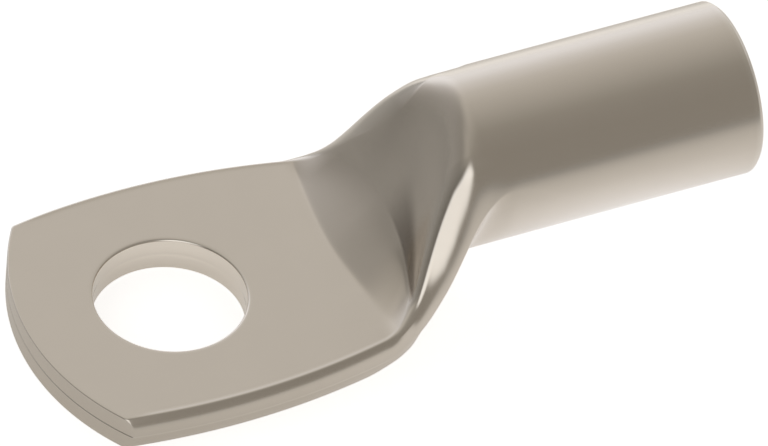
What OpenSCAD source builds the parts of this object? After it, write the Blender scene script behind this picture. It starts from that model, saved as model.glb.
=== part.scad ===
// Tubular cable lug: one length of round tube, pressed flat at one end into a palm with a
// stud hole. The barrel takes the conductor and the neck joins the two. +X runs from the
// palm to the barrel's mouth, +Z is up, and the origin is on the axis of the stud hole, in
// the plane of the palm's underside. Everything is in millimetres.

/* [Barrel] */
// Outer diameter of the barrel
barrel_d = 15; // [13:0.1:17]
// Bore of the barrel, which takes the conductor
bore_d = 11.5; // [9:0.1:12.5]
// Length of the round, straight part of the barrel
barrel_l = 23; // [16:0.1:40]
// Height of the barrel's underside above the palm's underside
barrel_lift = 3; // [0:0.1:5]
// Bevel round the outer edge of the mouth
mouth_bevel = 0.4; // [0.1:0.05:0.6]
// Bevel round the inner edge of the mouth
bore_bevel = 0.4; // [0.1:0.05:0.8]

/* [Palm] */
// Thickness of the palm, which is the two tube walls pressed together
palm_t = 3.4; // [2.6:0.1:4.2]
// Width of the palm where it is widest
palm_w = 27.1; // [24:0.1:32]
// Radius of the palm's bowed sides, seen from above
side_bow_r = 64; // [45:1:120]
// Distance from the hole's axis towards the barrel at which the palm is widest
widest_x = 0.8; // [-2:0.1:3]
// How far the rounded side edges bulge past the flat faces
side_bulge = 0.65; // [0.3:0.05:1]
// Distance from the hole's axis to the front edge
front_reach = 13; // [10.5:0.1:16]
// Radius of the cut front edge, seen from above
front_r = 21.6; // [16:0.1:30]

/* [Stud hole] */
// Diameter of the stud hole
hole_d = 13; // [8:0.1:15]
// Rounding of the hole's rims
hole_rim_r = 0.25; // [0.1:0.05:0.5]

/* [Neck] */
// Distance from the hole's axis to the start of the neck
neck_start = 13; // [11:0.1:18]
// Length of the neck, from the flat palm to the round barrel
neck_l = 15; // [12:0.1:22]
// Angle above and below the barrel's axis at which the neck's upper and lower corners end
corner_angle = 41.7; // [35:0.1:50]
// Angle above the barrel's axis at which the fold in the side wall ends
fold_angle = 18; // [0:1:30]
// How sharply the side wall turns in under that fold
fold_tilt = 35; // [0:1:45]
// How far the wall behind each upper corner dips, as an angle
ridge_dip = 34; // [0:1:45]

/* [Seam] */
// Depth of the groove where the two pressed walls meet
seam_depth = 0.12; // [0.05:0.01:0.3]
// Width of that groove at the surface
seam_w = 0.12; // [0.05:0.01:0.3]

/* [Hidden] */
$fn = 96;

barrel_r = barrel_d / 2;
bore_r = bore_d / 2;
wall_t = barrel_r - bore_r;
axis_z = barrel_lift + barrel_r;
neck_end = neck_start + neck_l;
mouth_x = neck_end + barrel_l;
half_w = palm_w / 2;
// Where the side walls' corners and folds come to lie on the barrel, from its axis
corner_y = barrel_r * cos(corner_angle);
corner_z = barrel_r * sin(corner_angle);
fold_y = barrel_r * cos(fold_angle);
fold_z = barrel_r * sin(fold_angle);
bow_y = side_bow_r - half_w;
// Radius of the arc that rounds a side edge from the top face to the underside
edge_r = (pow(palm_t / 2, 2) + pow(side_bulge, 2)) / (2 * side_bulge);
// Lean of that arc where it meets a flat face, from the vertical
edge_lean = asin(palm_t / 2 / edge_r);

// Spans of the neck's length, as shares of it from its start, over which each guide line moves
// from the palm to the barrel: inwards and upwards. A line with two spans moves in two steps,
// and the first of them makes the given share of the whole.
foot_in = [0.287, 0.8];
foot_up = [[0, 0.333], [0.2, 0.733], 0.12];
fold_in = [[0.167, 0.6], [0.533, 1], 0.25];
fold_up = [[0.133, 0.827], [0.393, 1], 0.35];
ridge_in = [0.28, 0.787];
ridge_up = [[0.12, 0.645], [0.307, 0.783], 0.39];
crown_up = [[0.177, 0.393], [0.307, 0.88], 0.14];
keel_up = [0.307, 1];
// Spans over which the pressed ridges and folds come up and fade away, and over which the
// section's underside and top turn round
ridge_on = [0.133, 0.327];
ridge_off = [0.567, 0.847];
fold_on = [0.133, 0.393];
fold_off = [0.74, 1];
underside_turn = [0.22, 1];
top_turn = [0.523, 0.913];
// Slope of the side walls under the pressed ridges, which stand upright there
upright = 92;

// The neck's ends lie a hair inside the palm, the barrel and the bore, then reach a little way
// into them and draw in, so that no two surfaces coincide or only just touch
hair = 0.02;
lap = 0.2;
draw_in = 0.15;
// Smallest half height of the cavity, where the walls meet
slit_h = 0.03;
// Spans of the neck's length that the cavity takes, and over which its wall thickness changes
cavity_span = [0.167, 1];
wall_span = [0.133, 0.567];
// Number of sections along the neck, and along its cavity
neck_steps = 40;
cavity_steps = 24;
// Points along each stretch of a section, and round the cavity
bottom_steps = 8;
side_steps = 8;
top_steps = 14;
cavity_points = 44;

// Share of the way from a to b
function mix(a, b, share) = a + (b - a) * share;

// Smooth rise from 0 to 1 while t runs through a span
function rise(t, span) =
    let (u = min(1, max(0, (t - span[0]) / (span[1] - span[0]))))
    u * u * (3 - 2 * u);

// Point on the curve from a to b that leaves a and reaches b at the given angles
function curve_point(a, b, angle_a, angle_b, u) =
    let (
        reach = norm(b - a) / pow(cos((angle_b - angle_a) / 4), 2),
        leave = reach * [cos(angle_a), sin(angle_a)],
        arrive = reach * [cos(angle_b), sin(angle_b)],
        v = 1 - u
    )
    a * (1 + 2 * u) * v * v + leave * u * v * v + b * u * u * (3 - 2 * u) - arrive * u * u * v;

// Half width of the palm's bowed side at x, at a rim radius of r
function bow_half(x, r) = sqrt(r * r - pow(x - widest_x, 2)) - bow_y;

// Rise in two steps, given as the two spans and the share that the first step makes
function staged(t, steps) = mix(rise(t, steps[1]), rise(t, steps[0]), steps[2]);

// The guide lines of the neck, as [y, z] at t, where t runs from 0 at the palm to 1 at the
// barrel. The palm's bowed sides run on into it, and their edges bend inwards and upwards.
function x_at(t) = neck_start + neck_l * t;
function flat_half(t) = bow_half(x_at(t), side_bow_r - side_bulge);
function foot_line(t) =
    [mix(flat_half(t), corner_y, rise(t, foot_in)), mix(0, axis_z - corner_z, staged(t, foot_up))];
function fold_line(t) =
    [
        mix(bow_half(x_at(t), side_bow_r), fold_y, staged(t, fold_in)),
        mix(palm_t / 2, axis_z + fold_z, staged(t, fold_up))
    ];
function ridge_line(t) =
    [mix(flat_half(t), corner_y, rise(t, ridge_in)), mix(palm_t, axis_z + corner_z, staged(t, ridge_up))];
function crown_z(t) = mix(palm_t, axis_z + barrel_r, staged(t, crown_up));
function keel_z(t) = mix(0, barrel_lift, rise(t, keel_up));

// How far the ridges, and the folds below them, stand out at t
function ridged(t) = rise(t, ridge_on) * (1 - rise(t, ridge_off));
function folded(t) = rise(t, fold_on) * (1 - rise(t, fold_off));

// Right half of the neck's section at t, from the middle of the underside up to the crown
function half_section(t) =
    let (
        foot = foot_line(t),
        fold = fold_line(t),
        ridge = ridge_line(t),
        keel = [0, keel_z(t)],
        crown = [0, crown_z(t)],
        roundness = rise(t, underside_turn),
        foot_angle = mix(0, 90 - corner_angle, roundness),
        low_leave = mix(90 - edge_lean, 90 - corner_angle, roundness),
        high_leave = mix(90, 90 + fold_angle, roundness),
        low_arrive = high_leave - fold_tilt * folded(t),
        high_arrive = mix(mix(90 + edge_lean, 90 + corner_angle, roundness), upright, ridged(t)),
        ridge_angle = mix(180, 90 + corner_angle, rise(t, top_turn)) + ridge_dip * ridged(t)
    )
    concat(
        [for (i = [0 : bottom_steps - 1]) curve_point(keel, foot, 0, foot_angle, i / bottom_steps)],
        [for (i = [0 : side_steps - 1]) curve_point(foot, fold, low_leave, low_arrive, i / side_steps)],
        [for (i = [0 : side_steps - 1]) curve_point(fold, ridge, high_leave, high_arrive, i / side_steps)],
        [for (i = [0 : top_steps]) curve_point(ridge, crown, ridge_angle, 180, i / top_steps)]
    );

// Closed section at t: the right half, then its mirror image on the way back down
function full_section(t) =
    let (half = half_section(t), last = len(half) - 1)
    concat(half, [for (i = [last - 1 : -1 : 1]) [-half[i][0], half[i][1]]]);

// Section of the cavity at t, which closes to a slit where the two walls meet
function cavity_section(t) =
    let (
        wall = mix(palm_t / 2, wall_t, rise(t, wall_span)),
        high = (crown_z(t) - keel_z(t)) / 2,
        middle = (crown_z(t) + keel_z(t)) / 2,
        half_h = max(slit_h, high - wall),
        half_y = fold_line(t)[0] - wall
    )
    [for (i = [0 : cavity_points - 1])
        let (a = 360 * i / cavity_points)
        [half_y * sin(a), middle - half_h * cos(a)]
    ];

// A section drawn in by an amount, about a middle height of middle_z, from half sizes of half_y
// and half_z
function drawn_in(section, middle_z, half_y, half_z, amount) =
    [for (p = section)
        [p[0] * (1 - amount / half_y), middle_z + (p[1] - middle_z) * (1 - amount / half_z)]
    ];
function at_palm(section, amount) = drawn_in(section, palm_t / 2, flat_half(0), palm_t / 2, amount);
function at_barrel(section, r, amount) = drawn_in(section, axis_z, r, r, amount);

// Middle of a closed section
function middle_of(section) =
    let (ys = [for (p = section) p[0]], zs = [for (p = section) p[1]])
    [(min(ys) + max(ys)) / 2, (min(zs) + max(zs)) / 2];

// Solid skinned over sections, each given as its x and its closed list of [y, z]. A fan of
// triangles about the section's middle closes each end.
module loft(xs, sections) {
    rows = len(xs);
    count = len(sections[0]);
    skin_points = [for (r = [0 : rows - 1]) for (p = sections[r]) [xs[r], p[0], p[1]]];
    ends = [for (r = [0, rows - 1]) let (m = middle_of(sections[r])) [xs[r], m[0], m[1]]];
    near_middle = rows * count;
    far_middle = near_middle + 1;
    far_row = (rows - 1) * count;
    skin = [
        for (r = [0 : rows - 2])
            for (i = [0 : count - 1])
                let (a = r * count + i, b = r * count + (i + 1) % count)
                each [[a, b + count, b], [a, a + count, b + count]]
    ];
    near_cap = [for (i = [0 : count - 1]) [near_middle, i, (i + 1) % count]];
    far_cap = [for (i = [0 : count - 1]) [far_middle, far_row + (i + 1) % count, far_row + i]];
    polyhedron(concat(skin_points, ends), concat(skin, near_cap, far_cap), convexity = 6);
}

// Disc whose rim is rounded as the palm's side edges are; its axis stands at y
module bowed_disc(y) {
    translate([widest_x, y, 0])
        rotate_extrude($fn = 360) {
            square([side_bow_r - side_bulge, palm_t]);
            intersection() {
                translate([side_bow_r - edge_r, palm_t / 2])
                    circle(edge_r);
                translate([side_bow_r - 2 * side_bulge, 0])
                    square([2 * side_bulge, palm_t]);
            }
        }
}

// The flat palm: two bowed sides and a round front, cut off where the neck starts
module palm_plate() {
    intersection() {
        bowed_disc(bow_y);
        bowed_disc(-bow_y);
        translate([front_r - front_reach, 0, 0])
            cylinder(h = palm_t, r = front_r, $fn = 180);
        translate([-front_reach, -half_w, 0])
            cube([front_reach + neck_start, palm_w, palm_t]);
    }
}

module neck_skin() {
    ts = [for (i = [1 : neck_steps - 1]) i / neck_steps];
    first = full_section(0);
    last = full_section(1);
    loft(
        concat(
            [neck_start - lap, neck_start],
            [for (t = ts) x_at(t)],
            [neck_end, neck_end + lap]
        ),
        concat(
            [at_palm(first, draw_in), at_palm(first, hair)],
            [for (t = ts) full_section(t)],
            [at_barrel(last, barrel_r, hair), at_barrel(last, barrel_r, draw_in)]
        )
    );
}

module neck_cavity() {
    ts = [for (i = [0 : cavity_steps - 1]) mix(cavity_span[0], cavity_span[1], i / cavity_steps)];
    last = cavity_section(cavity_span[1]);
    loft(
        concat([for (t = ts) x_at(t)], [neck_end, neck_end + lap]),
        concat(
            [for (t = ts) cavity_section(t)],
            [at_barrel(last, bore_r, hair), at_barrel(last, bore_r, draw_in)]
        )
    );
}

// Anything turned about the barrel's axis, from a profile of [radius, x]
module turned() {
    translate([0, 0, axis_z])
        rotate([0, 90, 0])
            rotate_extrude()
                children();
}

module barrel_skin() {
    turned()
        polygon([
            [0, neck_end],
            [barrel_r, neck_end],
            [barrel_r, mouth_x - mouth_bevel],
            [barrel_r - mouth_bevel, mouth_x],
            [0, mouth_x]
        ]);
}

module barrel_bore() {
    turned()
        polygon([
            [0, neck_end],
            [bore_r, neck_end],
            [bore_r, mouth_x - bore_bevel],
            [bore_r + bore_bevel, mouth_x],
            [bore_r + bore_bevel, mouth_x + lap],
            [0, mouth_x + lap]
        ]);
}

// The stud hole with its two rounded rims
module stud_hole() {
    hole_r = hole_d / 2;
    translate([0, 0, -lap])
        cylinder(h = palm_t + 2 * lap, d = hole_d);
    for (side = [0, 1])
        translate([0, 0, side * palm_t])
            mirror([0, 0, side])
                rotate_extrude()
                    difference() {
                        translate([hole_r - lap, -lap])
                            square([hole_rim_r + lap, hole_rim_r + lap]);
                        translate([hole_r + hole_rim_r, hole_rim_r])
                            circle(hole_rim_r, $fn = 48);
                    }
}

// Ring of a V groove at mid thickness, cut into a round edge of radius r
module seam_groove(r, inward) {
    rotate_extrude($fn = 180)
        polygon([
            [r - inward * seam_depth, palm_t / 2],
            [r + inward * seam_w, palm_t / 2 - seam_w * (0.5 + seam_w / seam_depth / 2)],
            [r + inward * seam_w, palm_t / 2 + seam_w * (0.5 + seam_w / seam_depth / 2)]
        ]);
}

module cable_lug() {
    color([0.69, 0.66, 0.6])
        difference() {
            union() {
                palm_plate();
                neck_skin();
                barrel_skin();
            }
            neck_cavity();
            barrel_bore();
            stud_hole();
            translate([front_r - front_reach, 0, 0])
                seam_groove(front_r, 1);
        }
}

cable_lug();
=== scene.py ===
"""Looks of the tubular cable lug: the skin of the pressed tube, its tinned finish and a small studio."""

import logging
import math
from dataclasses import dataclass, field
from enum import Enum
from typing import Sequence

import bmesh
import bpy
import numpy as np
from mathutils import Matrix, Vector

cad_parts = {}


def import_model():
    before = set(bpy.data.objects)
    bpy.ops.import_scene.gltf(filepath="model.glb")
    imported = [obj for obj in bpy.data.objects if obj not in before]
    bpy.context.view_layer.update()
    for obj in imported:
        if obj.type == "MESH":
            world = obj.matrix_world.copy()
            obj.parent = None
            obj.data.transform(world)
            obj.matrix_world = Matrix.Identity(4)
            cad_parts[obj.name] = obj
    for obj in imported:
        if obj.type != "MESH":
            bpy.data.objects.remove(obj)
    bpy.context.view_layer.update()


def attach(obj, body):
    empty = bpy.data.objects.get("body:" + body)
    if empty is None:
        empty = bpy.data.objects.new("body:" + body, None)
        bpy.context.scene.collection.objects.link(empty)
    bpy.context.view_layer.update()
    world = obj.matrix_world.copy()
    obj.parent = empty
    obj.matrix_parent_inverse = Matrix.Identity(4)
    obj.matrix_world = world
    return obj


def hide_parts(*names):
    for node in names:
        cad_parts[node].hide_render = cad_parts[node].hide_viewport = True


LOG = logging.getLogger("cable_lug_scene")
METRES = 0.001
Span = tuple[float, float]
Place = tuple[float, float]
Colour = tuple[float, float, float]
Vector3 = tuple[float, float, float]
Stops = Sequence[tuple[float, Colour]]
Array = np.ndarray
Socket = bpy.types.NodeSocket


def mix(start: float | Array, end: float | Array, share: float | Array) -> float | Array:
    """Share of the way from start to end."""
    return start + (end - start) * share


def rise(value: float | Array, span: Span) -> float | Array:
    """Smooth rise from 0 to 1 while the value runs through the span."""
    u = np.clip((value - span[0]) / (span[1] - span[0]), 0.0, 1.0)
    return u * u * (3.0 - 2.0 * u)


def staged(value: float, first: Span, second: Span, first_share: float) -> float:
    """Rise in two steps, of which the first makes the given share."""
    return mix(rise(value, second), rise(value, first), first_share)


def swept_curve(start: Place, end: Place, leave: float, arrive: float, count: int) -> Array:
    """Curve between two points that leaves and reaches them at given angles.

    Args:
        start: First point, as y and z.
        end: Last point, as y and z.
        leave: Angle at the first point, in degrees.
        arrive: Angle at the last point, in degrees.
        count: Number of points to return.

    Returns:
        The points, as rows of y and z.
    """
    a, b = np.array(start, float), np.array(end, float)
    reach = np.linalg.norm(b - a) / math.cos(math.radians((arrive - leave) / 4.0)) ** 2
    out = reach * np.array([math.cos(math.radians(leave)), math.sin(math.radians(leave))])
    home = reach * np.array([math.cos(math.radians(arrive)), math.sin(math.radians(arrive))])
    u = np.linspace(0.0, 1.0, count)[:, None]
    v = 1.0 - u
    return a * (1.0 + 2.0 * u) * v * v + out * u * v * v + b * u * u * (3.0 - 2.0 * u) - home * u * u * v


def rounded_corner(before: Array, corner: Array, after: Array, count: int) -> Array:
    """Inner points of the small curve that rounds a corner between two points."""
    w = np.linspace(0.0, 1.0, count + 2)[1:-1, None]
    return before * (1 - w) ** 2 + corner * 2 * w * (1 - w) + after * w * w


@dataclass
class Stretch:
    """One curved stretch of a section, which is read by the distance along it."""

    points: Array
    along: Array = field(init=False)

    def __post_init__(self) -> None:
        """Measures the distance of each point from the start."""
        steps = np.linalg.norm(np.diff(self.points, axis=0), axis=1)
        self.along = np.concatenate([[0.0], np.cumsum(steps)])

    @property
    def length(self) -> float:
        """Whole length of the stretch."""
        return float(self.along[-1])

    def at(self, distances: Array) -> Array:
        """Points at the given distances from the start."""
        return np.stack([np.interp(distances, self.along, column) for column in self.points.T], axis=-1)


@dataclass(frozen=True)
class Barrel:
    """The round, straight part of the tube, in millimetres."""

    outer_d: float = 15.0
    bore_d: float = 11.5
    length: float = 23.0
    lift: float = 3.0
    mouth_bevel: float = 0.4
    bore_bevel: float = 0.4
    mouth_round: float = 0.12
    # Distance from a bevel to the ring that keeps it crisp, and to where its lighter colour starts, for
    # wear and painted highlight
    support: float = 0.5
    wear_and_highlight_back: float = 0.2
    # Length over which the neck's points spread out evenly round the barrel
    settling: float = 9.0
    rows: int = 26
    bore_rows: int = 24
    edge_points: int = 3

    @property
    def outer_r(self) -> float:
        """Outer radius."""
        return self.outer_d / 2

    @property
    def bore_r(self) -> float:
        """Radius of the bore."""
        return self.bore_d / 2

    @property
    def wall(self) -> float:
        """Thickness of the tube's wall."""
        return self.outer_r - self.bore_r

    @property
    def axis_z(self) -> float:
        """Height of the axis above the palm's underside."""
        return self.lift + self.outer_r

    def on_wall(self, angle: float) -> Place:
        """Distance out and up from the axis of the outer wall at an angle in degrees."""
        turn = math.radians(angle)
        return self.outer_r * math.cos(turn), self.outer_r * math.sin(turn)

    def outer_profile(self, start: float) -> list[Place]:
        """Radius and x of the rings from the neck to the mouth's inner edge."""
        mouth = start + self.length
        bevel = mouth - self.mouth_bevel
        inner_bevel = mouth - self.bore_bevel
        straight = np.linspace(start, bevel - self.support, self.rows)[1:]
        rings = [(self.outer_r, float(x)) for x in straight]
        edges = [
            (self.outer_r, bevel - self.support),
            (self.outer_r, bevel),
            (self.outer_r - self.mouth_bevel, mouth),
            (self.bore_r + self.bore_bevel, mouth),
            (self.bore_r, inner_bevel),
            (self.bore_r, inner_bevel - self.support),
        ]
        for before, corner, after in zip(edges, edges[1:-1], edges[2:]):
            rings += self._eased(before, corner, after)
        rings.append(edges[-1])
        return rings

    def _eased(self, before: Place, corner: Place, after: Place) -> list[Place]:
        """Points that ease one turned edge."""
        c = np.array(corner)
        back, ahead = np.array(before) - c, np.array(after) - c
        p = c + back / np.linalg.norm(back) * self.mouth_round
        q = c + ahead / np.linalg.norm(ahead) * self.mouth_round
        points = np.vstack([p[None], rounded_corner(p, c, q, self.edge_points), q[None]])
        return [tuple(map(float, point)) for point in points]


@dataclass(frozen=True)
class Palm:
    """The flat palm with its bowed sides, in millimetres."""

    thickness: float = 3.4
    width: float = 27.1
    side_bow_r: float = 64.0
    widest_x: float = 0.8
    side_bulge: float = 0.65
    front_reach: float = 13.0
    front_r: float = 21.6
    edge_round: float = 0.13
    corner_round: float = 0.25
    lip_height: float = 0.045
    lip_width: float = 0.42
    # Distance from the front corner over which the raised lip comes up
    lip_span: Span = (0.3, 3.0)
    seam_depth: float = 0.06
    seam_width: float = 0.2
    side_points: int = 60
    front_points: int = 56
    corner_points: int = 5

    @property
    def bow_y(self) -> float:
        """How far the centre of a bowed side lies beyond the middle."""
        return self.side_bow_r - self.width / 2

    @property
    def front_x(self) -> float:
        """Centre of the front edge's arc."""
        return self.front_r - self.front_reach

    @property
    def edge_lean(self) -> float:
        """Lean of a side edge where it meets a flat face, in degrees."""
        radius = ((self.thickness / 2) ** 2 + self.side_bulge**2) / (2 * self.side_bulge)
        return math.degrees(math.asin(self.thickness / 2 / radius))

    def bow_half(self, x: float, radius: float) -> float:
        """Half width at x of a side whose bow has the given radius."""
        return math.sqrt(radius**2 - (x - self.widest_x) ** 2) - self.bow_y

    def flat_half(self, x: float) -> float:
        """Half width of the flat faces at x."""
        return self.bow_half(x, self.side_bow_r - self.side_bulge)

    def outline(self, start_x: float, start_y: float, inset: float) -> tuple[Array, Array]:
        """Plan of one level of the edge, from one side of the neck round the front to the other.

        Args:
            start_x: Where the neck starts.
            start_y: Half width of this level there.
            inset: How far this level lies inside the front edge.

        Returns:
            The points as rows of x and y, and for each how much it belongs to a side edge.
        """
        radius = math.hypot(start_y + self.bow_y, start_x - self.widest_x)
        front = self.front_r - inset
        gap = math.hypot(self.front_x - self.widest_x, self.bow_y)
        along = (gap**2 + radius**2 - front**2) / (2 * gap)
        off = math.sqrt(radius**2 - along**2)
        dx, dy = (self.front_x - self.widest_x) / gap, self.bow_y / gap
        corner = np.array([self.widest_x + along * dx - off * dy, -self.bow_y + along * dy + off * dx])
        turn = self.corner_round
        first = math.atan2(start_y + self.bow_y, start_x - self.widest_x)
        last = math.atan2(corner[1] + self.bow_y, corner[0] - self.widest_x) - turn / radius
        a = np.linspace(first, last, self.side_points)
        side = np.stack([self.widest_x + radius * np.cos(a), radius * np.sin(a) - self.bow_y], axis=-1)
        b0 = math.atan2(corner[1], corner[0] - self.front_x) + turn / front
        b = np.linspace(b0, 2 * math.pi - b0, self.front_points)
        nose = np.stack([self.front_x + front * np.cos(b), front * np.sin(b)], axis=-1)
        bend = rounded_corner(side[-1], corner, nose[0], self.corner_points)
        mirror = np.array([1.0, -1.0])
        plan = np.vstack([side, bend, nose, bend[::-1] * mirror, side[::-1] * mirror])
        along_side = rise(side[:, 0] - corner[0], self.lip_span)
        none = np.zeros(self.corner_points)
        sided = np.concatenate([along_side, none, np.zeros(len(nose)), none, along_side[::-1]])
        return plan, sided

    def front_inset(self, height: float, inward: float) -> float:
        """How far a level of the front lies inside its face, for its rounded edges and its seam."""
        e = self.edge_round
        edge = max(0.0, e - height, height - (self.thickness - e)) / e
        rounding = e * (1.0 - math.sqrt(max(0.0, 1.0 - min(edge, 1.0) ** 2)))
        seam = max(0.0, 1.0 - abs(height - self.thickness / 2) / (self.seam_width / 2))
        return rounding + inward + self.seam_depth * seam


@dataclass(frozen=True)
class StudHole:
    """The stud hole through the palm, in millimetres."""

    diameter: float = 13.0
    rim_r: float = 0.25
    support: float = 0.2
    seam_depth: float = 0.03
    seam_width: float = 0.24
    # Distance above and below the seam of the rings that keep it crisp, in half seam widths
    seam_support: float = 3.0
    rim_steps: int = 6
    # Rows of faces between the palm's outline and the rim
    face_rows: int = 12

    def profile(self, thickness: float) -> list[Place]:
        """Radius and height of the rings from the top face down to the underside."""
        r, rim = self.diameter / 2, self.rim_r
        turns = np.linspace(0.0, math.pi / 2, self.rim_steps)
        top = [(r + rim * (1 - math.sin(a)), thickness - rim * (1 - math.cos(a))) for a in turns]
        half, mid = self.seam_width / 2, thickness / 2
        seam = [
            (r, mid + self.seam_support * half),
            (r, mid + half),
            (r + self.seam_depth, mid),
            (r, mid - half),
            (r, mid - self.seam_support * half),
        ]
        low = [(radius, thickness - z) for radius, z in reversed(top)]
        outside = r + rim + self.support
        return [(outside, thickness), *top, *seam, *low, (outside, 0.0)]


class Side(Enum):
    """The two sides of the neck, valued by the sign of y."""

    FAR = 1
    NEAR = -1


@dataclass(frozen=True)
class Flank:
    """How one side of the neck is pressed, in shares of its length, degrees and millimetres.

    Attributes:
        ridge_in: Span over which the ridge moves in towards the barrel.
        upright: Slope of the side wall under the ridge.
        ridge_ease: Rounding of the ridge on the steep wall.
        top_ease: Rounding of the ridge where it runs out on the barrel.
        top_turn: Span over which the top behind the ridge turns round.
        ridge_dip: How far the top dips behind the ridge, as an angle.
    """

    ridge_in: Span
    upright: float
    ridge_ease: float
    top_ease: float
    top_turn: Span
    ridge_dip: float


@dataclass(frozen=True)
class HollowShadeAndPatch:
    """Darkening of the neck's top, in millimetres: painted shade in the hollow at the steep wall's foot,
    and a darker patch.

    Attributes:
        tip_y: Where the hollow runs out to a point on the near side.
        least: Reach of the hollow from the wall's foot at that tip.
        widening: How fast the reach grows across the neck.
        widest: Distance from the tip after which it grows no more.
        edge_in: Distance past the foot over which the hollow starts.
        edge_out: Shares of the reach over which it ends.
        near_fade: Span of y over which it starts on the near side.
        far_fade: Span of y over which it ends towards the far side.
        patch_at: Middle of the darker patch.
        patch_size: How far the darker patch spreads along and across.
        patch_depth: How dark the patch is.
    """

    tip_y: float = -8.8
    least: float = 0.25
    widening: float = 0.24
    widest: float = 8.0
    edge_in: Span = (0.0, 0.15)
    edge_out: Span = (0.55, 1.1)
    near_fade: Span = (-9.2, -8.2)
    far_fade: Span = (-4.5, 0.5)
    patch_at: Place = (21.8, 4.0)
    patch_size: Place = (1.6, 1.5)
    patch_depth: float = 0.22

    def at(self, x: float, y: Array, foot: Array) -> Array:
        """How much the top is darkened at x, across the neck, where the steep wall starts at foot: painted
        shade in the hollow, plus the darker patch.
        """
        past = x - foot
        reach = self.least + self.widening * np.clip(y - self.tip_y, 0.0, self.widest)
        across = rise(past, self.edge_in) * (1 - rise(past / reach, self.edge_out))
        along_x = (x - self.patch_at[0]) / self.patch_size[0]
        along_y = (y - self.patch_at[1]) / self.patch_size[1]
        # Darker patch on the top, round its middle
        patch = np.exp(-(along_x**2) - along_y**2)
        fade = rise(y, self.near_fade) * (1 - rise(y, self.far_fade))
        # Painted shade in the hollow, faded towards both sides, plus the darker patch
        return across * fade + self.patch_depth * patch


@dataclass(frozen=True)
class Neck:
    """The pressed neck between the palm and the barrel, in millimetres and shares of its length."""

    start: float = 13.0
    length: float = 15.0
    # Angles on the barrel at which the corners and folds end, and how far the wall turns in
    corner_angle: float = 41.7
    fold_angle: float = 18.0
    fold_tilt: float = 35.0
    # Spans over which each guide line moves in and up, some of them in two steps
    foot_in: Span = (0.287, 0.8)
    foot_up: tuple[Span, Span, float] = ((0.0, 0.333), (0.2, 0.733), 0.12)
    fold_in: tuple[Span, Span, float] = ((0.167, 0.6), (0.533, 1.0), 0.25)
    fold_up: tuple[Span, Span, float] = ((0.133, 0.827), (0.393, 1.0), 0.35)
    ridge_up: tuple[Span, Span, float] = ((0.12, 0.645), (0.307, 0.783), 0.39)
    crown_up: tuple[Span, Span, float] = ((0.177, 0.393), (0.307, 0.88), 0.14)
    keel_up: Span = (0.307, 1.0)
    # Spans over which the ridges, the folds and the pressed top come and go
    ridge_on: Span = (0.133, 0.327)
    ridge_off: Span = (0.567, 0.847)
    fold_on: Span = (0.133, 0.393)
    fold_off: Span = (0.74, 1.0)
    press_on: Span = (0.02, 0.14)
    press_off: Span = (0.42, 0.68)
    lip_off: Span = (0.1, 0.4)
    underside_turn: Span = (0.22, 1.0)
    # Spans over which the ridge's rounding grows and settles, and the fold's rounding
    ease_on: Span = (0.12, 0.42)
    ease_off: Span = (0.55, 0.8)
    fold_ease: Span = (0.1, 0.16)
    # Spans over which the edges' lighter colour (wear and painted highlight) fades after the palm, and
    # comes and goes on the ridges as painted highlight
    palm_wear_and_highlight_off: Span = (0.0, 0.4)
    ridge_highlight_on: Span = (0.0, 0.3)
    ridge_highlight_off: Span = (0.6, 0.95)
    cavity_span: Span = (0.167, 1.0)
    bore_meet: Span = (0.75, 1.0)
    wall_span: Span = (0.133, 0.567)
    slit: float = 0.03
    near: Flank = Flank((0.20, 0.70), 118.0, 1.6, 0.8, (0.35, 0.90), 34.0)
    far: Flank = Flank((0.28, 0.787), 130.0, 2.4, 1.6, (0.25, 0.85), 20.0)
    # Painted shade in the hollow at the steep wall's foot, and a darker patch
    painted_shade_and_patch: HollowShadeAndPatch = HollowShadeAndPatch()
    # The first crease: its place, bow, the slope after it, its rounding and its gentler near end
    crease_x: float = 15.1
    crease_bow: float = 0.012
    crease_slope: float = 0.81
    crease_round: float = 0.16
    crease_near_loss: float = 0.6
    crease_near: Span = (4.0, 10.0)
    # The foot of the steep wall: its place, bow and middle, the slope, and its two roundings
    step_x: float = 19.2
    step_bow: float = 0.018
    step_middle: float = -1.0
    step_slope: float = 2.2
    step_round: float = 0.3
    step_far_round: float = 1.8
    step_softening: Span = (-7.0, 1.0)
    # Width beside the ridge over which the pressed top comes up to it
    flank: float = 3.0
    # Points of each guiding curve, and rows of the mesh
    fine: int = 90
    rows: int = 150
    cavity_rows: int = 50

    def x_at(self, t: float) -> float:
        """Distance from the hole's axis at a share of the neck."""
        return self.start + self.length * t

    def step_line(self, y: Array) -> Array:
        """Where the steep wall starts, across the neck."""
        return self.step_x - self.step_bow * (y - self.step_middle) ** 2

    def painted_shade_and_patch_at(self, x: float, y: Array) -> Array:
        """How much the pressed top is darkened at x, across the neck: painted shade in the hollow, plus
        the darker patch.
        """
        return self.painted_shade_and_patch.at(x, y, self.step_line(y))

    def wear_and_highlight_share(self, t: float) -> float:
        """How much the edges are lightened, for wear and painted highlight, at a share of the neck."""
        ridges = float(rise(t, self.ridge_highlight_on) * (1 - rise(t, self.ridge_highlight_off)))
        return max(ridges, 1 - rise(t, self.palm_wear_and_highlight_off))

    def pressed_rise(self, x: float, y: Array) -> Array:
        """Height above the palm of the pressed top: flat, then a gentle slope, then a steep wall."""
        first = self.crease_x + self.crease_bow * y**2
        second = self.step_line(y)
        slope = self.crease_slope * (1 - self.crease_near_loss * rise(-y, self.crease_near))
        gentle = slope * (x - first)
        steep = slope * (second - first) + self.step_slope * (x - second)
        soft = mix(self.step_round, self.step_far_round, rise(y, self.step_softening))
        sloped = (gentle + steep + np.sqrt((gentle - steep) ** 2 + soft**2)) / 2
        return (sloped + np.sqrt(sloped**2 + self.crease_round**2)) / 2


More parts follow.
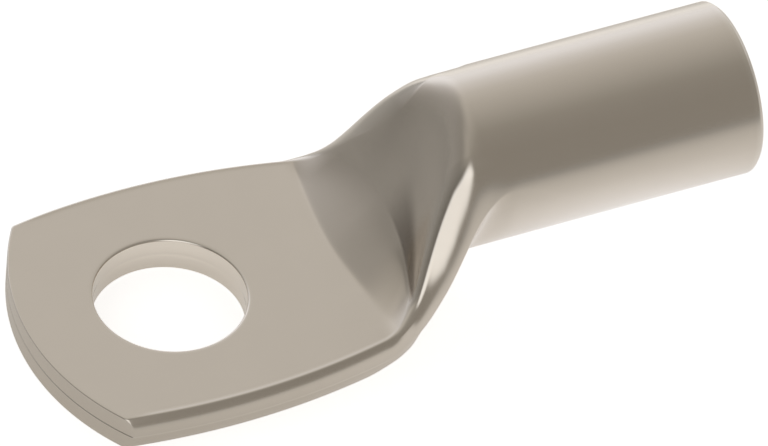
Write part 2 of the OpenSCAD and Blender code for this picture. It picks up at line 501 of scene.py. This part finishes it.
class Piece(Enum):
    """Names of the things that the scene makes."""

    LUG = "lug_skin"
    FLOOR = "studio_floor"
    CAMERA = "studio_camera"


@dataclass(frozen=True)
class Grain:
    """Number of points along each stretch and corner of half a section.

    Attributes:
        flat: Points along the underside, and along the top.
        lip: Points beside an edge that follow the palm's outline.
        crowding: How much the points of the flat stretches gather towards the edges.
    """

    flat: int = 36
    lower_side: int = 12
    upper_side: int = 14
    foot: int = 4
    fold: int = 7
    ridge: int = 9
    lip: int = 7
    crowding: float = 1.5


@dataclass(frozen=True)
class Guides:
    """Corners of half a section, each as its distance from the middle and its height."""

    keel: Place
    foot: Place
    fold: Place
    ridge: Place
    crown: Place


@dataclass
class Skin:
    """A mesh in the making: points in millimetres, faces, how much each point is lightened for wear and
    painted highlight, and how much it is darkened by painted shade and the darker patch.
    """

    points: list[Array] = field(default_factory=list)
    wear_and_highlight: list[Array] = field(default_factory=list)
    painted_shade_and_patch: list[Array] = field(default_factory=list)
    faces: list[tuple[int, ...]] = field(default_factory=list)
    count: int = 0

    def add(self, points: Array, wear_and_highlight: float | Array = 0.0, painted_shade_and_patch: float | Array = 0.0) -> Array:
        """Adds points and returns their numbers."""
        numbers = np.arange(self.count, self.count + len(points))
        self.points.append(np.asarray(points, float))
        for kept, value in ((self.wear_and_highlight, wear_and_highlight), (self.painted_shade_and_patch, painted_shade_and_patch)):
            kept.append(np.broadcast_to(np.asarray(value, float), (len(points),)).copy())
        self.count += len(points)
        return numbers

    def bridge(self, one: Sequence[int], two: Sequence[int], closed: bool = True) -> None:
        """Joins two rows of points with four-sided faces."""
        n = len(one)
        for i in range(n if closed else n - 1):
            j = (i + 1) % n
            self.faces.append((int(one[i]), int(one[j]), int(two[j]), int(two[i])))


@dataclass
class LugSkin:
    """The whole skin of the lug, outside and inside, as one closed mesh."""

    palm: Palm = field(default_factory=Palm)
    hole: StudHole = field(default_factory=StudHole)
    neck: Neck = field(default_factory=Neck)
    barrel: Barrel = field(default_factory=Barrel)
    grain: Grain = field(default_factory=Grain)
    skin: Skin = field(default_factory=Skin)

    @property
    def neck_end(self) -> float:
        """Where the neck meets the barrel."""
        return self.neck.start + self.neck.length

    def _guides(self, t: float, flank: Flank) -> Guides:
        """Corners of half a section at a share of the neck's length."""
        n, p, b = self.neck, self.palm, self.barrel
        x = n.x_at(t)
        flat = p.flat_half(x)
        bow = p.bow_half(x, p.side_bow_r)
        corner_y, corner_z = b.on_wall(n.corner_angle)
        fold_y, fold_z = b.on_wall(n.fold_angle)
        foot_z = mix(0.0, b.axis_z - corner_z, staged(t, *n.foot_up))
        fold_height = mix(p.thickness / 2, b.axis_z + fold_z, staged(t, *n.fold_up))
        ridge_z = mix(p.thickness, b.axis_z + corner_z, staged(t, *n.ridge_up))
        return Guides(
            keel=(0.0, mix(0.0, b.lift, rise(t, n.keel_up))),
            foot=(mix(flat, corner_y, rise(t, n.foot_in)), foot_z),
            fold=(mix(bow, fold_y, staged(t, *n.fold_in)), fold_height),
            ridge=(mix(flat, corner_y, rise(t, flank.ridge_in)), ridge_z),
            crown=(0.0, mix(p.thickness, b.axis_z + b.outer_r, staged(t, *n.crown_up))),
        )

    def half_section(self, t: float, side: Side = Side.FAR, lip: float = 1.0) -> tuple[Array, Array]:
        """Half of the section, from the middle of the underside up to the crown.

        Args:
            t: Share of the neck's length.
            side: Which side's flank to follow; the near side is mirrored later.
            lip: How much of the palm's raised edge shows.

        Returns:
            The points as rows of y and z, and how much each is lightened for wear and painted highlight.
        """
        n, p = self.neck, self.palm
        flank = n.far if side is Side.FAR else n.near
        guides = self._guides(t, flank)
        turned = rise(t, n.underside_turn)
        ridged = rise(t, n.ridge_on) * (1 - rise(t, n.ridge_off))
        folded = rise(t, n.fold_on) * (1 - rise(t, n.fold_off))
        foot_angle = mix(0.0, 90 - n.corner_angle, turned)
        low_leave = mix(90 - p.edge_lean, 90 - n.corner_angle, turned)
        high_leave = mix(90.0, 90 + n.fold_angle, turned)
        low_arrive = high_leave - n.fold_tilt * folded
        high_arrive = mix(mix(90 + p.edge_lean, 90 + n.corner_angle, turned), flank.upright, ridged)
        ridge_angle = mix(180.0, 90 + n.corner_angle, rise(t, flank.top_turn)) + flank.ridge_dip * ridged
        lip_height = lip * p.lip_height * (1 - rise(t, n.lip_off))
        under = swept_curve(guides.keel, guides.foot, 0.0, foot_angle, n.fine)
        low = swept_curve(guides.foot, guides.fold, low_leave, low_arrive, n.fine)
        high = swept_curve(guides.fold, guides.ridge, high_leave, high_arrive, n.fine)
        high[:, 1] += lip_height * np.linspace(0.0, 1.0, n.fine) ** 3
        top = self._roof(t, side, guides, ridge_angle, lip_height)
        grown = mix(p.edge_round, flank.ridge_ease, rise(t, n.ease_on))
        ridge_ease = mix(grown, flank.top_ease, rise(t, n.ease_off))
        stretches = [Stretch(points) for points in (under, low, high, top)]
        return self._joined(stretches, [p.edge_round, mix(*n.fold_ease, folded), ridge_ease])

    def _roof(self, t: float, side: Side, guides: Guides, leave: float, lip_height: float) -> Array:
        """Top of half a section, from the ridge to the crown, pressed down behind the palm.

        Args:
            t: Share of the neck's length.
            side: Which side of the neck it is on.
            guides: Corners of the half section.
            leave: Angle at which the top leaves the ridge, in degrees.
            lip_height: Height of the raised lip beside the ridge.

        Returns:
            The points as rows of y and z.
        """
        n, p = self.neck, self.palm
        roof = swept_curve(guides.ridge, guides.crown, leave, 180.0, 3 * n.fine)
        pressed = rise(t, n.press_on) * (1 - rise(t, n.press_off))
        pressed_z = p.thickness + n.pressed_rise(n.x_at(t), side.value * roof[:, 0])
        beside = np.clip(1 - (guides.ridge[0] - roof[:, 0]) / n.flank, 0.0, 1.0) ** 2
        pressed_z += (guides.ridge[1] - pressed_z[0]) * beside
        roof[:, 1] = mix(roof[:, 1], pressed_z, pressed)
        roof[:, 1] += lip_height * (1 - rise(Stretch(roof).along, (0.0, p.lip_width)))
        return roof

    def _joined(self, stretches: list[Stretch], eases: list[float]) -> tuple[Array, Array]:
        """Points along the four stretches of half a section, with their corners eased."""
        g = self.grain
        flat = np.linspace(0.0, 1.0, g.flat)
        shares = [
            1 - (1 - flat) ** g.crowding,
            np.linspace(0.0, 1.0, g.lower_side),
            np.linspace(0.0, 1.0, g.upper_side),
            flat**g.crowding,
        ]
        corners = [g.foot, g.fold, g.ridge]
        rows: list[Array] = []
        wear_and_highlight: list[Array] = []
        for k, stretch in enumerate(stretches):
            start = eases[k - 1] if k else 0.0
            end = stretch.length - (eases[k] if k < len(eases) else 0.0)
            rows.append(stretch.at(start + (end - start) * shares[k]))
            wear_and_highlight.append(np.zeros(len(shares[k])))
            if k < len(eases):
                before = stretch.at(np.array([end]))[0]
                after = stretches[k + 1].at(np.array([eases[k]]))[0]
                rows.append(rounded_corner(before, stretch.points[-1], after, corners[k]))
                # Corners are lightened most at their middle: wear, and painted highlight
                wear_and_highlight.append(np.sin(np.linspace(0.0, 1.0, corners[k] + 2)[1:-1] * math.pi))
        return np.vstack(rows), np.concatenate(wear_and_highlight)

    @staticmethod
    def ring(far: Array, near: Array) -> Array:
        """Closed ring from two half sections: the far side up, then the near side down."""
        return np.vstack([far, near[-2:0:-1] * np.array([-1.0, 1.0])])

    def build(self) -> bpy.types.Object:
        """Builds the whole mesh and returns its object."""
        first, first_wear_and_highlight = self.half_section(0.0)
        start = self._section_row(self.neck.start, first, first, first_wear_and_highlight)
        self._build_palm(start, first, first_wear_and_highlight)
        last = self._build_neck(start)
        mouth = self._build_barrel(last)
        self._build_cavity(mouth)
        return self._as_object()

    def _section_row(self, x: float, far: Array, near: Array, wear_and_highlight: Array) -> Array:
        """Adds one closed ring of the outer skin at x."""
        ring = self.ring(far, near)
        ring_wear_and_highlight = np.concatenate([wear_and_highlight, wear_and_highlight[-2:0:-1]])
        on_top = ring[:, 1] > self.palm.thickness
        # Painted shade in the neck's hollow, and the darker patch, on the top only
        painted_shade_and_patch = self.neck.painted_shade_and_patch_at(x, ring[:, 0]) * on_top
        return self.skin.add(np.column_stack([np.full(len(ring), x), ring]), ring_wear_and_highlight, painted_shade_and_patch)

    def _build_palm(self, start: Array, half: Array, wear_and_highlight: Array) -> None:
        """Builds the palm's edges level by level, then its two flat faces and the hole."""
        plain, _ = self.half_section(0.0, lip=0.0)
        count, crown = len(start), len(half) - 1
        spare = self.grain.lip
        top_level = crown - (self.grain.flat - 1) + spare
        low_level = self.grain.flat - 1 - spare
        chains: dict[int, Array] = {}
        for level in range(low_level, top_level + 1):
            inward = 0.0
            if level < self.grain.flat or level > top_level - spare:
                inward = max(0.0, self.palm.flat_half(self.neck.start) - plain[level][0])
            inset = self.palm.front_inset(float(plain[level][1]), inward)
            plan, sided = self.palm.outline(self.neck.start, float(half[level][0]), inset)
            height = mix(plain[level][1], half[level][1], sided)
            points = np.column_stack([plan, height])
            inner = self.skin.add(points[1:-1], wear_and_highlight[level])
            chains[level] = np.concatenate([[start[level]], inner, [start[count - level]]])
            if level > low_level:
                self.skin.bridge(chains[level - 1], chains[level], closed=False)
        over_top = [start[count - k] for k in range(top_level + 1, crown)] + [start[crown]]
        over_top += [start[k] for k in range(crown - 1, top_level, -1)]
        under = [start[count - k] for k in range(low_level - 1, 0, -1)]
        under += [start[k] for k in range(low_level)]
        top = np.concatenate([chains[top_level], over_top]).astype(int)
        low = np.concatenate([chains[low_level], under]).astype(int)
        if len(top) != len(low):
            raise ValueError(f"the palm's faces have {len(top)} and {len(low)} points")
        self._build_hole(top, low)

    def _build_hole(self, top: Array, low: Array) -> None:
        """Fills the two flat faces in to the hole and builds its wall."""
        points = np.vstack(self.skin.points)
        angles = np.unwrap(np.arctan2(points[top][:, 1], points[top][:, 0]))
        even = np.linspace(0.0, 2 * math.pi, len(top), endpoint=False) * np.sign(angles[-1] - angles[0])
        even += float(np.mean(angles - even))
        rows = self.hole.profile(self.palm.thickness)
        rings = []
        for radius, z in rows:
            ring = np.column_stack([radius * np.cos(even), radius * np.sin(even), np.full(len(top), z)])
            # The hole's rims are lightened: wear, and painted highlight
            near_face = abs(abs(z - self.palm.thickness / 2) - self.palm.thickness / 2) < self.hole.rim_r
            on_rim = near_face and radius < self.hole.diameter / 2 + self.hole.rim_r
            rings.append((ring, 1.0 if on_rim else 0.0))
        steps = self.hole.face_rows
        previous = top
        outer = points[top]
        for j in range(1, steps):
            row = mix(outer, rings[0][0], j / steps)
            numbers = self.skin.add(row)
            self.skin.bridge(previous, numbers)
            previous = numbers
        for ring, edge in rings:
            numbers = self.skin.add(ring, edge)
            self.skin.bridge(previous, numbers)
            previous = numbers
        outer = points[low]
        for j in range(steps - 1, 0, -1):
            numbers = self.skin.add(mix(outer, rings[-1][0], j / steps))
            self.skin.bridge(previous, numbers)
            previous = numbers
        self.skin.bridge(previous, low)

    def _build_neck(self, start: Array) -> Array:
        """Builds the neck's outer skin and returns its last ring."""
        previous = start
        for row in range(1, self.neck.rows + 1):
            t = row / self.neck.rows
            far, wear_and_highlight = self.half_section(t)
            near, _ = self.half_section(t, Side.NEAR)
            numbers = self._section_row(self.neck.x_at(t), far, near, wear_and_highlight * self.neck.wear_and_highlight_share(t))
            self.skin.bridge(numbers, previous)
            previous = numbers
        return previous

    def _build_barrel(self, last: Array) -> Array:
        """Builds the barrel's outer skin, its mouth and the start of its bore.

        Args:
            last: The neck's last ring.

        Returns:
            The last ring inside the bore, evenly spaced.
        """
        b = self.barrel
        ring = np.vstack(self.skin.points)[last]
        angles = np.unwrap(np.arctan2(ring[:, 2] - b.axis_z, ring[:, 1]))
        even = -math.pi / 2 + np.arange(len(ring)) * 2 * math.pi / len(ring)
        previous = last
        mouth = self.neck_end + b.length
        for radius, x in b.outer_profile(self.neck_end):
            a = mix(angles, even, rise(x, (self.neck_end, self.neck_end + b.settling)))
            out, up = radius * np.cos(a), b.axis_z + radius * np.sin(a)
            points = np.column_stack([np.full(len(ring), x), out, up])
            # The mouth's bevel is lightened: wear, and painted highlight
            edge = 1.0 if mouth - b.mouth_bevel - b.wear_and_highlight_back < x < mouth else 0.0
            numbers = self.skin.add(points, edge)
            self.skin.bridge(numbers, previous)
            previous = numbers
        return previous

    def _build_cavity(self, mouth: Array) -> None:
        """Builds the bore and the cavity behind it, which closes where the two walls meet."""
        b, n, p = self.barrel, self.neck, self.palm
        count = len(mouth)
        a = -math.pi / 2 + np.arange(count) * 2 * math.pi / count
        previous = mouth
        start = self.neck_end + b.length - b.bore_bevel - b.support
        for x in np.linspace(start, self.neck_end, b.bore_rows)[1:]:
            out, up = b.bore_r * np.cos(a), b.axis_z + b.bore_r * np.sin(a)
            ring = np.column_stack([np.full(count, x), out, up])
            numbers = self.skin.add(ring)
            self.skin.bridge(numbers, previous)
            previous = numbers
        for t in np.linspace(n.cavity_span[1], n.cavity_span[0], n.cavity_rows)[1:]:
            wall = mix(p.thickness / 2, b.wall, rise(t, n.wall_span))
            guides = self._guides(t, n.far)
            crown, keel = guides.crown[1], guides.keel[1]
            half_y = mix(guides.fold[0] - wall, b.bore_r, rise(t, n.bore_meet))
            half_z = max(n.slit, (crown - keel) / 2 - wall)
            out, up = half_y * np.cos(a), (crown + keel) / 2 + half_z * np.sin(a)
            ring = np.column_stack([np.full(count, n.x_at(t)), out, up])
            numbers = self.skin.add(ring)
            self.skin.bridge(numbers, previous)
            previous = numbers
        self._close_slit(previous)

    def _close_slit(self, ring: Array) -> None:
        """Closes the cavity's end with faces between its lower and upper edge."""
        count = len(ring)
        quarter = count // 4
        lower = [int(ring[i % count]) for i in range(-quarter, quarter + 1)]
        upper = [int(ring[(count // 2 - i) % count]) for i in range(-quarter, quarter + 1)]
        for i in range(2 * quarter):
            corners = [lower[i], upper[i], upper[i + 1], lower[i + 1]]
            face = tuple(dict.fromkeys(corners))
            if len(face) > 2:
                self.skin.faces.append(face)

    def _as_object(self) -> bpy.types.Object:
        """Makes the object, with outward faces, smooth shading, and per point the lighter edges (wear and
        painted highlight) and the painted shade with the darker patch.
        """
        mesh = bpy.data.meshes.new(Piece.LUG.value)
        points = np.vstack(self.skin.points) * METRES
        mesh.from_pydata([tuple(map(float, p)) for p in points], [], self.skin.faces)
        shell = bmesh.new()
        shell.from_mesh(mesh)
        bmesh.ops.recalc_face_normals(shell, faces=shell.faces)
        shell.to_mesh(mesh)
        shell.free()
        mesh.polygons.foreach_set("use_smooth", [True] * len(mesh.polygons))
        # Per-point attributes: lighter edges for wear and painted highlight, and painted shade with the
        # darker patch
        for name, values in (("wear_and_highlight", self.skin.wear_and_highlight), ("painted_shade_and_patch", self.skin.painted_shade_and_patch)):
            layer = mesh.attributes.new(name, "FLOAT", "POINT")
            layer.data.foreach_set("value", np.concatenate(values).astype(np.float32))
        mesh.validate()
        mesh.update()
        lug = bpy.data.objects.new(Piece.LUG.value, mesh)
        bpy.context.scene.collection.objects.link(lug)
        return lug


class Nodes:
    """Short hand for building a node tree."""

    def __init__(self, tree: bpy.types.NodeTree) -> None:
        """Starts with an empty tree."""
        self.tree = tree
        tree.nodes.clear()

    def node(self, kind: str, **settings: object) -> bpy.types.Node:
        """Adds a node and sets its properties."""
        made = self.tree.nodes.new(kind)
        for name, value in settings.items():
            setattr(made, name, value)
        return made

    def link(self, source: Socket, target: Socket) -> None:
        """Links two sockets."""
        self.tree.links.new(source, target)

    def feed(self, target: Socket, value: object) -> None:
        """Links a socket or sets a plain value."""
        if isinstance(value, Socket):
            self.link(value, target)
        else:
            target.default_value = value

    def math(self, operation: str, *values: object, clamp: bool = False) -> Socket:
        """Adds a Math node and returns its result."""
        made = self.node("ShaderNodeMath", operation=operation, use_clamp=clamp)
        for socket, value in zip(made.inputs, values):
            self.feed(socket, value)
        return made.outputs[0]

    def vector(self, operation: str, *values: object) -> bpy.types.Node:
        """Adds a Vector Math node and returns it."""
        made = self.node("ShaderNodeVectorMath", operation=operation)
        for socket, value in zip(made.inputs, values):
            self.feed(socket, value)
        return made

    def split(self, value: Socket) -> tuple[Socket, ...]:
        """Splits a vector into its x, y and z."""
        made = self.node("ShaderNodeSeparateXYZ")
        self.link(value, made.inputs[0])
        return tuple(made.outputs)

    def blend(self, share: object, first: object, second: object) -> Socket:
        """Adds a colour mix of two colours or sockets and returns its colour."""
        made = self.node("ShaderNodeMix", data_type="RGBA")
        for place, value in ((0, share), (6, first), (7, second)):
            self.feed(made.inputs[place], value)
        return made.outputs[2]

    def ramp(self, value: Socket, stops: Stops) -> Socket:
        """Adds a colour ramp through the given stops and returns its colour."""
        made = self.node("ShaderNodeValToRGB")
        ramp = made.color_ramp
        while len(ramp.elements) > 1:
            ramp.elements.remove(ramp.elements[-1])
        ramp.elements[0].position = stops[0][0]
        ramp.elements[0].color = (*stops[0][1], 1.0)
        for place, colour in stops[1:]:
            element = ramp.elements.new(place)
            element.color = (*colour, 1.0)
        self.link(value, made.inputs[0])
        return made.outputs[0]

    def span(self, value: Socket, over: Span, onto: Span) -> Socket:
        """Maps a value smoothly from one span to another."""
        made = self.node("ShaderNodeMapRange", interpolation_type="SMOOTHSTEP")
        for socket, number in zip(made.inputs[1:5], (*over, *onto)):
            socket.default_value = number
        self.link(value, made.inputs[0])
        return made.outputs[0]

    def noise(self, place: Socket, scale: float, detail: float, stretch: Vector3) -> Socket:
        """Adds noise read at a stretched place and returns its value."""
        mapped = self.node("ShaderNodeMapping")
        mapped.inputs["Scale"].default_value = stretch
        self.link(place, mapped.inputs["Vector"])
        made = self.node("ShaderNodeTexNoise")
        made.inputs["Scale"].default_value = scale
        made.inputs["Detail"].default_value = detail
        self.link(mapped.outputs[0], made.inputs["Vector"])
        return made.outputs[0]


@dataclass(frozen=True)
class TinnedCopper:
    """Satin tin plating over copper, with fine drawing lines along the tube.

    Attributes:
        shade: Share of the colour that the darkest cloud keeps.
        wear_and_highlight_share: How much of the lighter colour the edges and ridges take, for wear and
            painted highlight.
        painted_shade_and_patch_share: How much of the painted shade colour the hollow and the darker patch
            take.
        line_roughness: How much the lines add to the roughness.
        line_bias: How far the roughness starts below its value, to make room for the lines.
        relief_height: Height of the lines, in metres.
    """

    slot: str = "tinned_copper"
    colour: Colour = (0.80, 0.745, 0.675)
    # Lighter colour of edges and ridges: wear, and painted highlight
    wear_and_highlight_colour: Colour = (0.90, 0.86, 0.80)
    # Painted shade: the dark colour of the neck's hollow, also used for the darker patch
    painted_shade_and_patch_colour: Colour = (0.16, 0.135, 0.115)
    shade: float = 0.965
    wear_and_highlight_share: float = 0.5
    painted_shade_and_patch_share: float = 0.62
    roughness: float = 0.20
    line_roughness: float = 0.08
    line_bias: float = 0.03
    cloud_scale: float = 260.0
    line_scale: float = 900.0
    line_stretch: Vector3 = (0.03, 1.0, 1.0)
    relief_strength: float = 0.12
    relief_height: float = 0.00002

    def material(self) -> bpy.types.Material:
        """Builds the material."""
        made = bpy.data.materials.new(self.slot)
        made.use_nodes = True
        n = Nodes(made.node_tree)
        place = n.node("ShaderNodeTexCoord").outputs["Object"]
        wear_and_highlight = n.node("ShaderNodeAttribute", attribute_name="wear_and_highlight").outputs["Fac"]
        # Painted shade of the neck's hollow, with the darker patch, read from the mesh
        painted_shade_and_patch = n.node("ShaderNodeAttribute", attribute_name="painted_shade_and_patch").outputs["Fac"]
        cloud = n.noise(place, self.cloud_scale, 3.0, (1.0, 1.0, 1.0))
        lines = n.noise(place, self.line_scale, 4.0, self.line_stretch)
        shaded = tuple(channel * self.shade for channel in self.colour)
        tone = n.blend(cloud, (*shaded, 1.0), (*self.colour, 1.0))
        # Lighter edges and ridges: wear, and painted highlight
        bright = n.blend(n.math("MULTIPLY", wear_and_highlight, self.wear_and_highlight_share), tone, (*self.wear_and_highlight_colour, 1.0))
        # Painted shade: darkens the neck's hollow and the darker patch
        coloured = n.blend(n.math("MULTIPLY", painted_shade_and_patch, self.painted_shade_and_patch_share), bright, (*self.painted_shade_and_patch_colour, 1.0))
        varied = n.math("MULTIPLY", lines, self.line_roughness)
        rough = n.math("ADD", varied, self.roughness - self.line_bias)
        relief = n.node("ShaderNodeBump")
        relief.inputs["Strength"].default_value = self.relief_strength
        relief.inputs["Distance"].default_value = self.relief_height
        n.link(lines, relief.inputs["Height"])
        shader = n.node("ShaderNodeBsdfPrincipled")
        shader.inputs["Metallic"].default_value = 1.0
        n.link(coloured, shader.inputs["Base Color"])
        n.link(rough, shader.inputs["Roughness"])
        n.link(relief.outputs[0], shader.inputs["Normal"])
        out = n.node("ShaderNodeOutputMaterial")
        n.link(shader.outputs[0], out.inputs[0])
        return made


@dataclass(frozen=True)
class Studio:
    """Plain pale floor, soft surrounding light and the camera."""

    # Camera: aim and distance in millimetres, angles in degrees, clipping in metres
    aim: Vector3 = (19.11, -0.785, 6.0)
    distance: float = 1613.0
    azimuth: float = -27.45
    elevation: float = 44.9
    roll: float = 5.0
    lens: float = 900.0
    sensor: float = 36.0
    clip: Span = (0.05, 6.0)
    # Floor, in metres: its half size, how far it lies under the palm, and its greys
    floor_half: float = 1.6
    floor_drop: float = 0.00002
    floor_grey: float = 0.85
    mirrored_grey: float = 0.60
    seen_glow: float = 0.72
    # Pool of light on the floor, which only reflections show, from its middle outwards
    pool: Place = (0.040, 0.0)
    pool_reach: float = 0.15
    pool_glow: Stops = (
        (0.0, (0.72, 0.74, 0.77)),
        (0.055, (0.65, 0.65, 0.67)),
        (0.10, (0.53, 0.52, 0.515)),
        (0.15, (0.41, 0.395, 0.38)),
        (0.24, (0.33, 0.315, 0.295)),
        (0.45, (0.23, 0.22, 0.205)),
        (1.0, (0.03, 0.03, 0.03)),
    )
    # More light behind the lug and under its hole, and less beside the palm
    behind_y: Span = (0.02, 0.10)
    behind_x: Span = (-0.05, 0.05)
    behind_gain: float = 0.62
    hole_reach: Span = (0.003, 0.009)
    hole_gain: float = 0.26
    dim_y: Span = (0.010, 0.024)
    dim_x: Span = (0.005, 0.025)
    dim_share: float = 0.8
    # Surrounding light from the near side to the far side, dimmer low down and to one side
    sweep: Stops = (
        (0.0, (0.285, 0.265, 0.235)),
        (0.12, (0.275, 0.255, 0.225)),
        (0.25, (0.290, 0.270, 0.240)),
        (0.365, (0.315, 0.295, 0.262)),
        (0.45, (0.365, 0.345, 0.310)),
        (0.55, (0.425, 0.402, 0.365)),
        (0.72, (0.520, 0.495, 0.455)),
        (0.83, (0.600, 0.575, 0.540)),
        (0.915, (0.740, 0.720, 0.710)),
        (0.97, (0.940, 0.940, 0.970)),
        (1.0, (1.02, 1.03, 1.08)),
    )
    side_x: Span = (-1.0, 0.0)
    overhead_z: Span = (0.35, 0.85)
    dimmest: float = 0.5
    # Soft bright source at the near left
    source: Vector3 = (-0.515, -0.77, 0.375)
    source_edge: Span = (0.84, 0.97)
    source_gain: float = 0.85

    def build_camera(self) -> None:
        """Places the long-lens camera."""
        a, e, r = (math.radians(v) for v in (-self.azimuth, self.elevation, self.roll))
        across = Vector((math.cos(a), -math.sin(a), 0.0))
        up = Vector((math.sin(a) * math.sin(e), math.cos(a) * math.sin(e), math.cos(e)))
        back = across.cross(up)
        right = across * math.cos(r) + up * math.sin(r)
        top = up * math.cos(r) - across * math.sin(r)
        data = bpy.data.cameras.new(Piece.CAMERA.value)
        data.lens, data.sensor_width = self.lens, self.sensor
        data.clip_start, data.clip_end = self.clip
        camera = bpy.data.objects.new(Piece.CAMERA.value, data)
        turn = Matrix((right, top, back)).transposed().to_4x4()
        camera.matrix_world = Matrix.Translation((Vector(self.aim) + back * self.distance) * METRES) @ turn
        bpy.context.scene.collection.objects.link(camera)
        bpy.context.scene.camera = camera

    def build_floor(self) -> None:
        """Builds the floor, which shows white and keeps the lug's shadow."""
        h = self.floor_half
        mesh = bpy.data.meshes.new(Piece.FLOOR.value)
        mesh.from_pydata([(-h, -h, 0.0), (h, -h, 0.0), (h, h, 0.0), (-h, h, 0.0)], [], [(0, 1, 2, 3)])
        floor = bpy.data.objects.new(Piece.FLOOR.value, mesh)
        floor.location.z = -self.floor_drop
        bpy.context.scene.collection.objects.link(floor)
        mesh.materials.append(self._floor_material())

    def _floor_material(self) -> bpy.types.Material:
        """Matt white that glows a little where the camera or a reflection sees it."""
        made = bpy.data.materials.new("studio_white")
        made.use_nodes = True
        n = Nodes(made.node_tree)
        path = n.node("ShaderNodeLightPath")
        seen = n.math("MAXIMUM", path.outputs["Is Camera Ray"], path.outputs["Is Transmission Ray"])
        glossy = path.outputs["Is Glossy Ray"]
        place = n.node("ShaderNodeNewGeometry").outputs["Position"]
        spot = n.vector("DISTANCE", place)
        spot.inputs[1].default_value = (*self.pool, 0.0)
        away = n.math("DIVIDE", spot.outputs["Value"], self.pool_reach, clamp=True)
        glow = n.ramp(away, self.pool_glow)
        floor_x, floor_y, _ = n.split(place)
        far_back = n.span(floor_y, self.behind_y, (0.0, self.behind_gain))
        behind = n.math("MULTIPLY", far_back, n.span(floor_x, self.behind_x, (0.0, 1.0)))
        middle = n.vector("LENGTH", place).outputs["Value"]
        extra = n.math("ADD", behind, n.span(middle, self.hole_reach, (self.hole_gain, 0.0)))
        beside = n.span(floor_y, self.dim_y, (0.0, self.dim_share))
        dim = n.math("MULTIPLY", beside, n.span(floor_x, self.dim_x, (1.0, 0.0)))
        pool = n.vector("SCALE", n.vector("ADD", glow, extra).outputs[0])
        n.link(n.math("MULTIPLY", glossy, n.math("SUBTRACT", 1.0, dim)), pool.inputs["Scale"])
        plain = n.vector("SCALE", (1.0, 1.0, 1.0))
        n.link(n.math("MULTIPLY", seen, self.seen_glow), plain.inputs["Scale"])
        total = n.vector("ADD", plain.outputs[0], pool.outputs[0])
        matt = n.node("ShaderNodeBsdfDiffuse")
        plain_grey, mirrored_grey = ((*[grey] * 3, 1.0) for grey in (self.floor_grey, self.mirrored_grey))
        n.link(n.blend(glossy, plain_grey, mirrored_grey), matt.inputs["Color"])
        light = n.node("ShaderNodeEmission")
        n.link(total.outputs[0], light.inputs["Color"])
        both = n.node("ShaderNodeAddShader")
        n.link(matt.outputs[0], both.inputs[0])
        n.link(light.outputs[0], both.inputs[1])
        clear = n.node("ShaderNodeBsdfTransparent")
        side = n.node("ShaderNodeMixShader")
        n.link(n.node("ShaderNodeNewGeometry").outputs["Backfacing"], side.inputs[0])
        n.link(both.outputs[0], side.inputs[1])
        n.link(clear.outputs[0], side.inputs[2])
        out = n.node("ShaderNodeOutputMaterial")
        n.link(side.outputs[0], out.inputs[0])
        return made

    def build_light(self) -> None:
        """Lights the scene from all round: bright behind, dim towards the camera, white where seen."""
        world = bpy.data.worlds.new("studio_light")
        bpy.context.scene.world = world
        world.use_nodes = True
        n = Nodes(world.node_tree)
        place = n.node("ShaderNodeTexCoord").outputs["Generated"]
        x, y, z = n.split(place)
        depth = n.math("MULTIPLY_ADD", y, 0.5, 0.5)
        side = n.span(x, self.side_x, (self.dimmest, 1.0))
        shade = n.math("MAXIMUM", side, n.span(z, self.overhead_z, (self.dimmest, 1.0)))
        toned = n.vector("SCALE", n.ramp(depth, self.sweep))
        n.link(shade, toned.inputs["Scale"])
        toward = n.vector("DOT_PRODUCT", place, self.source).outputs["Value"]
        spark = n.span(toward, self.source_edge, (0.0, self.source_gain))
        lit = n.vector("ADD", toned.outputs[0])
        n.link(spark, lit.inputs[1])
        path = n.node("ShaderNodeLightPath")
        seen = n.math("MAXIMUM", path.outputs["Is Camera Ray"], path.outputs["Is Transmission Ray"])
        around = n.node("ShaderNodeBackground")
        n.link(lit.outputs[0], around.inputs["Color"])
        white = n.node("ShaderNodeBackground")
        pick = n.node("ShaderNodeMixShader")
        white.inputs["Color"].default_value = (1.0, 1.0, 1.0, 1.0)
        n.link(seen, pick.inputs[0])
        n.link(around.outputs[0], pick.inputs[1])
        n.link(white.outputs[0], pick.inputs[2])
        out = n.node("ShaderNodeOutputWorld")
        n.link(pick.outputs[0], out.inputs[0])


def dress(lug: bpy.types.Object, finish: TinnedCopper) -> None:
    """Gives the lug its finish, its body and the solid that it stands for."""
    lug.data.materials.append(finish.material())
    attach(lug, "root")
    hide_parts("cable_lug")
    LOG.info("%s: %d points, %d faces", lug.name, len(lug.data.vertices), len(lug.data.polygons))


def main() -> None:
    """Builds the lug, the studio and the camera."""
    logging.basicConfig(level=logging.INFO, format="%(name)s: %(message)s")
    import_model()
    bpy.context.scene.view_settings.view_transform = "Standard"
    lug = LugSkin().build()
    dress(lug, TinnedCopper())
    studio = Studio()
    studio.build_floor()
    studio.build_light()
    studio.build_camera()


if __name__ == "__main__":
    main()
